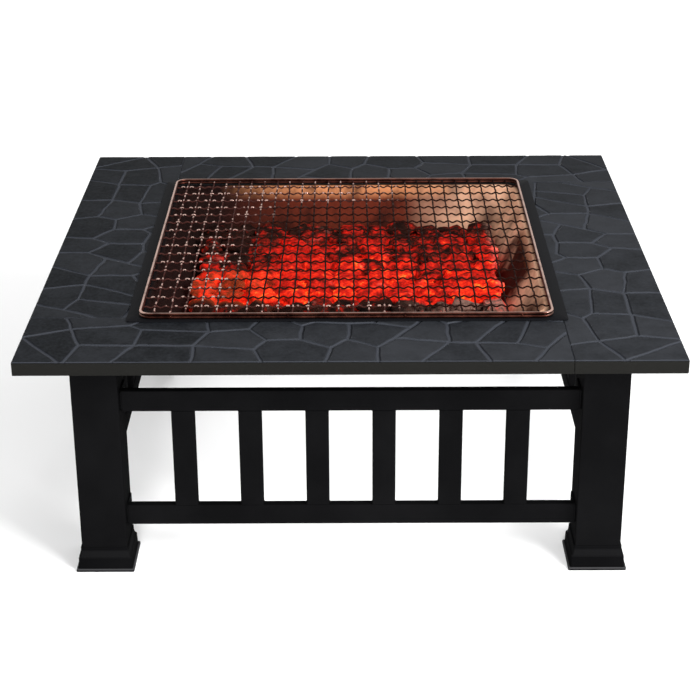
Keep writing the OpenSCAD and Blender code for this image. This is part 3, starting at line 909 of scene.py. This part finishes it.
def rail_part(low, rng):
    """Rail of the front side: a round-edged tube between two end plates, welded on the inside."""
    middle_z = low + RAIL_H / 2
    tube_end = LEG_FACE - END_PLATE_T
    tube = laid_along_x(bar(RAIL_T / 2, RAIL_H / 2, TUBE_R, -tube_end, tube_end))
    parts = [moved(tube, (0, -RAIL_FACE + RAIL_T / 2, middle_z))]
    for s in (-1, 1):
        ends = sorted((s * tube_end, s * LEG_FACE))
        plate = laid_along_x(bar(END_PLATE_W / 2, RAIL_H / 2, PLATE_CORNER, *ends))
        parts.append(moved(plate, (0, -RAIL_FACE + END_PLATE_W / 2, middle_z)))
        x, y = s * (tube_end - BEAD_SINK), -RAIL_FACE + RAIL_T + BEAD_SINK / 2
        parts.append(weld_bead((x, y, low + BEAD_INSET), (x, y, low + RAIL_H - BEAD_INSET), rng))
    return joined(parts)


def slats_part(rng):
    """Slats of the front side, welded to the rails on their inside face and narrow sides."""
    low, high = SLATS_LOW[2], SLATS_HIGH[2]
    y = -RAIL_FACE + RAIL_T / 2
    back_y = -RAIL_FACE + RAIL_T - BEAD_EDGE
    edge = SLAT_W / 2 - SLAT_BEAD_INSET
    parts = []
    for i in range(SLAT_N):
        x = (i - (SLAT_N - 1) / 2) * SLAT_PITCH
        parts.append(moved(bar(SLAT_W / 2, RAIL_T / 2, TUBE_R, low, high), (x, y, 0)))
        for z in (low + BEAD_EDGE, high - BEAD_EDGE):
            parts.append(weld_bead((x - edge, back_y, z), (x + edge, back_y, z), rng))
            for s in (-1, 1):
                side_x = x + s * (SLAT_W / 2 - BEAD_EDGE)
                start, end = (side_x, y - SLAT_BEAD_FRONT, z), (side_x, y + SLAT_BEAD_BACK, z)
                parts.append(weld_bead(start, end, rng))
    return joined(parts)


def build_side_panels():
    for k, side in enumerate(SIDES):
        rng = np.random.default_rng(40 + k)
        for level in ("top", "bottom"):
            node = side + "_" + level + "_rail"
            points, faces = rail_part(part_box(node)[0][2], rng)
            mesh = mesh_of(node, (quarter_turn(points, k), faces))
            add_piece("welded_" + node, mesh, FRAME_COAT, "table", [node])
        points, faces = slats_part(rng)
        mesh = mesh_of(side + "_slats", (quarter_turn(points, k), faces))
        add_piece("welded_" + side + "_slats", mesh, FRAME_COAT, "table", [side + "_slats"])


# ---------- fire bowl ----------

def bowl_half(z, offset=0.0):
    """Half the bowl's width at a height, on its inside or that far outside it."""
    slope = (BOWL_MOUTH - BOWL_FLOOR) / (FLANGE_TOP - BOWL_FLOOR_Z)
    return BOWL_FLOOR + (z - BOWL_FLOOR_Z) * slope + offset


def bowl_corner(z):
    """Radius of the bowl's round corners at a height."""
    t = (z - BOWL_FLOOR_Z) / (FLANGE_TOP - BOWL_FLOOR_Z)
    return FLOOR_CORNER + (MOUTH_CORNER - FLOOR_CORNER) * t


def bowl_wall(low, high, offset, used):
    """Rings of the sloping wall between two heights."""
    return [(bowl_half(z, offset), z, bowl_corner(z), used) for z in np.linspace(low, high, 8)]


def floor_fillet(floor_z, offset, used):
    """Rings of the round foot of the wall, from the floor up."""
    half = bowl_half(floor_z + FLOOR_FILLET, offset)
    return [(half - FLOOR_FILLET * (1 - math.sin(a)), floor_z + FLOOR_FILLET * (1 - math.cos(a)),
             bowl_corner(floor_z), used) for a in np.radians((0, 20, 40, 60, 80))]


def bowl_part():
    """Pressed pan: its inside from the floor up, over the flange, and its outside down again. A ring
    is its half width, its height, the radius of its corners and how far the fire has marked it."""
    inside_floor = BOWL_FLOOR_Z + SHEET_T
    wall_low, wall_high = inside_floor + FLOOR_FILLET, FLANGE_TOP - MOUTH_BEND
    under = FLANGE_TOP - SHEET_T
    rings = floor_fillet(inside_floor, -1 * MM, 1)
    rings += bowl_wall(wall_low, wall_high, 0, 1)
    rings += [
        (BOWL_MOUTH - 0.7 * MM, FLANGE_TOP - 0.8 * MM, MOUTH_CORNER, 1),
        (BOWL_MOUTH + 0.6 * MM, FLANGE_TOP - 0.15 * MM, MOUTH_CORNER, 0.9),
        (BOWL_MOUTH + 2 * MM, FLANGE_TOP, MOUTH_CORNER, 0.7),
        (BOWL_MOUTH + 5 * MM, FLANGE_TOP, MOUTH_TOP_CORNER, 0),
        (FLANGE - 0.5 * MM, FLANGE_TOP, FLANGE_CORNER, 0),
        (FLANGE, FLANGE_TOP - FLANGE_ROUND, FLANGE_CORNER, 0),
        (FLANGE, under + FLANGE_ROUND, FLANGE_CORNER, 0),
        (FLANGE - 0.5 * MM, under, FLANGE_CORNER, 0),
        (BOWL_MOUTH + 2 * MM, under, MOUTH_CORNER, 0),
    ]
    rings += bowl_wall(wall_high, wall_low, SHEET_T, 0)
    rings += floor_fillet(BOWL_FLOOR_Z, 0, 0)[::-1]
    skins = [lifted(rounded_rectangle(half, half, radius, 10), z) for half, z, radius, _ in rings]
    return loft(skins), np.repeat([ring[3] for ring in rings], len(skins[0]))


def build_bowl():
    part, used = bowl_part()
    mesh = mesh_of("fire_bowl_pan", moved(part, BOWL_CENTRE), {"used": used})
    add_piece("fire_bowl_pan", mesh, ENAMEL_COAT, "bowl", ["fire_bowl"])


# ---------- charcoal ----------

def ball():
    """A sphere of unit radius."""
    work = bmesh.new()
    bmesh.ops.create_icosphere(work, subdivisions=3, radius=1)
    work.verts.ensure_lookup_table()
    points = np.array([tuple(vertex.co) for vertex in work.verts])
    faces = [[vertex.index for vertex in face.verts] for face in work.faces]
    work.free()
    return points, faces


def lump(base, size, rng):
    """A broken piece of charcoal: a ball cut flat on many sides and roughened."""
    points = base * rng.uniform(1.0, 1.15)
    for _ in range(LUMP_CUTS):
        normal = rng.normal(size=3)
        normal /= np.linalg.norm(normal)
        over = np.clip(points @ normal - rng.uniform(0.55, 0.85), 0, None)
        points = points - over[:, None] * normal
    waves = rng.normal(size=(3, 3)) * 4
    rough = np.sin(points @ waves.T + rng.uniform(0, 6, 3)).sum(axis=1)
    grit = rng.normal(size=len(points))
    points = points * (1 + LUMP_WAVES * rough + LUMP_GRIT * grit)[:, None]
    turn = rng.uniform(0, math.pi)
    c, s = math.cos(turn), math.sin(turn)
    return (points * size) @ np.array([[c, s, 0], [-s, c, 0], [0, 0, 1]])


def fire_heat(x, y):
    """How hot the fire is at a place, from 0 to 1: less at the left and at the back."""
    left = 1 - rise(x, -0.165, -0.085)
    across = rise(x, -0.235, -0.205) - 0.15 * left - 0.55 * left * rise(y, -0.03, 0.06)
    back = 1 - 0.30 * rise(y, -0.06, 0.05) - 0.45 * rise(y, 0.09, 0.18)
    return np.clip(across, 0, 1) * back * rise(y, -0.136, -0.118)


def ashes(x, y):
    """How ashy the bed is at a place, along its edges on the right, and how it smoulders in
    front on the left."""
    ash = rise(x, 0.05, 0.20) * np.maximum(rise(-y, 0.120, 0.138), rise(x, 0.198, 0.210))
    smoulder = rise(-x, 0.095, 0.135) * rise(-y, -0.01, 0.04) * (1 - rise(-y, 0.125, 0.145))
    return ash, smoulder


def charcoal_layers():
    """The bed's lowest and highest corner, and its layers from below: columns, rows, first and
    last row's edge, reach to both sides, and height."""
    low, high = COAL_LOW - BOWL_CENTRE + 1 * MM, COAL_HIGH - BOWL_CENTRE - 1 * MM
    return low, high, (
        (9, 9, low[1], high[1], 0.203, low[2] + 12 * MM),
        (10, 9, -0.170, high[1] - 8 * MM, 0.209, low[2] + 25 * MM),
        (11, 9, -0.150, 0.190, high[0], high[2] - 13 * MM))


def charcoal_part():
    """A bed of lumps in three loose layers, with how hot and how ashy every point is."""
    rng = np.random.default_rng(7)
    base, base_faces = ball()
    parts, heats = [], []
    low, high, layers = charcoal_layers()
    for columns, rows, first, last, reach, z in layers:
        cell_x, cell_y = 2 * reach / columns, (last - first) / rows
        for i in range(columns):
            for j in range(rows):
                x = -reach + (i + 0.5 + rng.uniform(-0.2, 0.2)) * cell_x
                y = first + (j + 0.5 + rng.uniform(-0.2, 0.2)) * cell_y
                size_x, size_y = rng.uniform(0.5, 0.68) * cell_x, rng.uniform(0.5, 0.68) * cell_y
                size = np.array([size_x, size_y, LUMP_H]) * rng.uniform(0.85, 1.12)
                points = lump(base, size, rng) + (x, y, z + rng.uniform(-3.5, 2) * MM)
                points = np.clip(points, (-reach, first, low[2]), (reach, last, high[2])) + BOWL_CENTRE
                parts.append((points, base_faces))
                heat = FIRE_HEAT * fire_heat(points[:, 0], points[:, 1])
                heats.append(heat + rng.uniform(-0.12, 0.16))
    (points, faces), heat = joined(parts), np.concatenate(heats)
    ash, smoulder = ashes(points[:, 0], points[:, 1])
    ember = heat - SMOULDER_COOLS * smoulder
    return (points, faces), {"ember": ember, "ash": ash, "smoulder": PAINTED_GLOW_SHOWS * smoulder}


def build_charcoal():
    part, attributes = charcoal_part()
    mesh = mesh_of("charcoal_bed", part, attributes, 35)
    add_piece("charcoal_bed", mesh, CHARCOAL, "charcoal_grate", ["charcoal"])


# ---------- cooking grate ----------

def rim_part(z, seed):
    """One rim wire, not quite straight, as a closed tube, and how much painted highlight each point
    gets, by how far it faces up and, near the sides, out.
    """
    rng = np.random.default_rng(seed)
    corner = rounded_rectangle(RIM_X, RIM_Y, RIM_CORNER, 8)
    path = []
    for start, end in zip(corner, np.roll(corner, -1, axis=0)):
        count = max(1, round(np.linalg.norm(end - start) / RIM_STEP))
        path += [start + (end - start) * i / count for i in range(count)]
    path = np.array(path)
    bow = RIM_BOW * line_noise(np.arange(len(path)), 12, rng)
    outward = path / np.linalg.norm(path, axis=1)[:, None]
    path = path + outward * np.minimum(bow, 0)[:, None]
    middle = lifted(path, z)
    points, faces = swept(middle, RIM_WIRE_R, RIM_SIDES, closed=True)
    facing = (points - np.repeat(middle, RIM_SIDES, axis=0)) / RIM_WIRE_R
    sideways = np.repeat(rise(np.abs(path[:, 0]), RIM_X - RIM_CORNER, RIM_X - 1 * MM), RIM_SIDES)
    # Painted highlight: bright copper where the wire faces up, and out near the sides
    up_and_out = facing[:, 2] + 0.5 * sideways * facing[:, 0] * np.sign(points[:, 0])
    painted_rim_highlight = rise(up_and_out, 0.88 - 0.43 * sideways, 1.0 - 0.20 * sideways)
    return moved((points, faces), GRATE_CENTRE), painted_rim_highlight


def spot_welds(rng):
    """Small flattened welds between the two rim wires."""
    base, faces = ball()
    parts = []
    for s in (-1, 1):
        for t in np.linspace(-0.85, 0.85, WELD_N):
            for centre in ((s * (RIM_X + WELD_OUT), t * RIM_Y), (t * RIM_X, s * (RIM_Y + WELD_OUT))):
                size = np.array([1.5, 1.5, 1.1]) * MM * rng.uniform(0.85, 1.1)
                parts.append((base * size + (*centre, MESH_Z), faces))
    return moved(joined(parts), GRATE_CENTRE)


def wave(s, pitch, count, sign):
    """Wave of a crimped wire along its length, from -1 to 1: the crests fall on the crossings."""
    first = -(count - 1) / 2 * pitch
    return sign * np.cos(HALF_WAVES * math.pi * (s - first) / pitch)


def wires_part(along, count, pitch, reach, cross_count, cross_pitch, seed):
    """Parallel crimped wires along X or Y, woven over and under the others, with their attributes."""
    rng = np.random.default_rng(seed)
    half = reach - WIRE_END
    s = np.linspace(-half, half, round(2 * half * HALF_WAVES * 6 / cross_pitch))
    near_end = np.clip((half - np.abs(s)) / (6 * MM), 0, 1)
    parts, crests = [], []
    for i in range(count):
        sign = (-1) ** i if along == "x" else (-1) ** (i + 1)
        sideways = (i - (count - 1) / 2) * pitch + rng.uniform(-0.5, 0.5) * MM
        sideways = sideways + WIRE_WANDER * line_noise(s, 60 * MM, rng)
        sideways = sideways + WIRE_SHAKE * line_noise(s, 11 * MM, rng)
        crest = wave(s, cross_pitch, cross_count, sign) * near_end
        z = MESH_Z + CRIMP * crest
        columns = (s, sideways, z) if along == "x" else (sideways, s, z)
        parts.append(swept(np.column_stack(columns), WIRE_R, WIRE_SIDES))
        crests.append(np.repeat(crest, WIRE_SIDES))
    points, faces = moved(joined(parts), GRATE_CENTRE)
    return (points, faces), {"crest": np.concatenate(crests), "burnt": burnt_by_fire(points)}


def burnt_by_fire(points):
    """How far the mesh is burnt dark: not at the left, nor at the left half of the front and back."""
    x, y = points[:, 0], points[:, 1]
    left_edge = -0.205 + 0.15 * (y + 0.25)
    spared = np.maximum(rise(y, 0.13, 0.18), rise(-y, 0.232, 0.252))
    return rise(x - left_edge, 0, 0.05) * (1 - spared * (1 - rise(x, 0.02, 0.10)))


def build_cooking_grate():
    rims = (("grate_bottom_rim", RIM_Z, 3), ("grate_top_rim", TOP_RIM_Z, 4))
    for node, z, seed in rims:
        part, painted_rim_highlight = rim_part(z, seed)
        if node == "grate_bottom_rim":
            welds = spot_welds(np.random.default_rng(5))
            part = joined([part, welds])
            # The bottom wire gets a fifth of the rim's painted highlight
            painted_rim_highlight = np.append(0.2 * painted_rim_highlight, np.zeros(len(welds[0])))
        mesh = mesh_of("copper_" + node, part, {"painted_rim_highlight": painted_rim_highlight})
        add_piece("copper_" + node, mesh, RIM_COPPER, "cooking_grate", [node])
    long_wires = wires_part("y", LONG_WIRE_N, LONG_PITCH, RIM_Y, CROSS_WIRE_N, CROSS_PITCH, 21)
    cross_wires = wires_part("x", CROSS_WIRE_N, CROSS_PITCH, RIM_X, LONG_WIRE_N, LONG_PITCH, 22)
    wires = (("grate_long_wires", long_wires), ("grate_cross_wires", cross_wires))
    for node, (part, attributes) in wires:
        mesh = mesh_of("crimped_" + node, part, attributes, 80)
        add_piece("crimped_" + node, mesh, MESH_COPPER, "cooking_grate", [node])


# ---------- CAD nodes that keep their shape ----------

def paint_cad_nodes():
    """Gives the CAD nodes that stay visible their materials."""
    finishes = {
        FRAME_COAT: ["leg_" + corner for corner in CORNERS],
        BRACKET_COAT: ["corner_bracket_" + corner for corner in CORNERS] + ["leg_top_plates"],
        ZINC: ["rail_bolts", "rail_nuts", "tabletop_bolts", "tabletop_nuts", "leg_bolts"],
        GRATE_STEEL: ["charcoal_grate_frame", "charcoal_grate_rods", "charcoal_grate_feet"],
    }
    for material, nodes in finishes.items():
        for name in nodes:
            for material_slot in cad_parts[name].material_slots:
                material_slot.material = material


# ---------- stage ----------

CAMERA_PLACE = (0.00524, -2.3195, 1.1794)
CAMERA_PITCH = 0.4154
CAMERA_YAW = 0.0028
CAMERA_ROLL = -0.0048
CAMERA_LENS = 90.2
SENSOR_W = 36
WORLD_STRENGTH = 0.62
FLOOR_HALF = 60


def build_camera():
    data = bpy.data.cameras.new("camera")
    data.lens = CAMERA_LENS
    data.sensor_width = SENSOR_W
    data.clip_end = 200
    camera = bpy.data.objects.new("camera", data)
    turn = Matrix.Rotation(CAMERA_YAW, 4, "Z")
    tilt = Matrix.Rotation(math.pi / 2 - CAMERA_PITCH, 4, "X")
    roll = Matrix.Rotation(CAMERA_ROLL, 4, "Z")
    camera.matrix_world = Matrix.Translation(CAMERA_PLACE) @ turn @ tilt @ roll
    bpy.context.scene.collection.objects.link(camera)
    bpy.context.scene.camera = camera


def build_floor():
    square = [(x * FLOOR_HALF, y * FLOOR_HALF, 0) for x, y in ((-1, -1), (1, -1), (1, 1), (-1, 1))]
    mesh = mesh_of("floor", (np.array(square), [[0, 1, 2, 3]]))
    material, tree, shader = new_material("pale_floor")
    shade = noise(tree, 1.5, 2)
    dress(tree, shader, blended(tree, shade, (0.92, 0.92, 0.92), (0.94, 0.94, 0.94)), 0.9, 0.1)
    mesh.materials.append(material)
    floor = bpy.data.objects.new("floor", mesh)
    bpy.context.scene.collection.objects.link(floor)


def add_area_light(name, position, target, size, power, glossy=True):
    data = bpy.data.lights.new(name, "AREA")
    data.shape = "SQUARE"
    data.size = size
    data.energy = power
    light = bpy.data.objects.new(name, data)
    light.location = position
    direction = Vector(target) - Vector(position)
    light.rotation_euler = direction.to_track_quat("-Z", "Y").to_euler()
    light.visible_camera = False
    light.visible_glossy = glossy
    bpy.context.scene.collection.objects.link(light)


def build_light():
    world = bpy.data.worlds.new("studio")
    world.use_nodes = True
    background = world.node_tree.nodes["Background"]
    background.inputs["Color"].default_value = (1, 1, 1, 1)
    background.inputs["Strength"].default_value = WORLD_STRENGTH
    bpy.context.scene.world = world
    add_area_light("key", (1.9, -1.9, 1.8), (0, 0, 0.3), 1.3, 130)
    add_area_light("low_front", (-0.3, -4.0, 0.85), (0, 0, 0.3), 1.0, 200, False)
    add_area_light("under_table", (0, 0, 0.19), (0, 0, 0), 0.55, 1.2, False)
    add_area_light("back_low", (0, 4.6, 1.15), (0, 0, 0.0), 1.6, 200, False)
    bpy.context.scene.view_settings.view_transform = "Standard"


build_camera()
build_floor()
build_light()
build_tabletop()
build_feet()
build_side_panels()
build_bowl()
build_charcoal()
build_cooking_grate()
paint_cad_nodes()
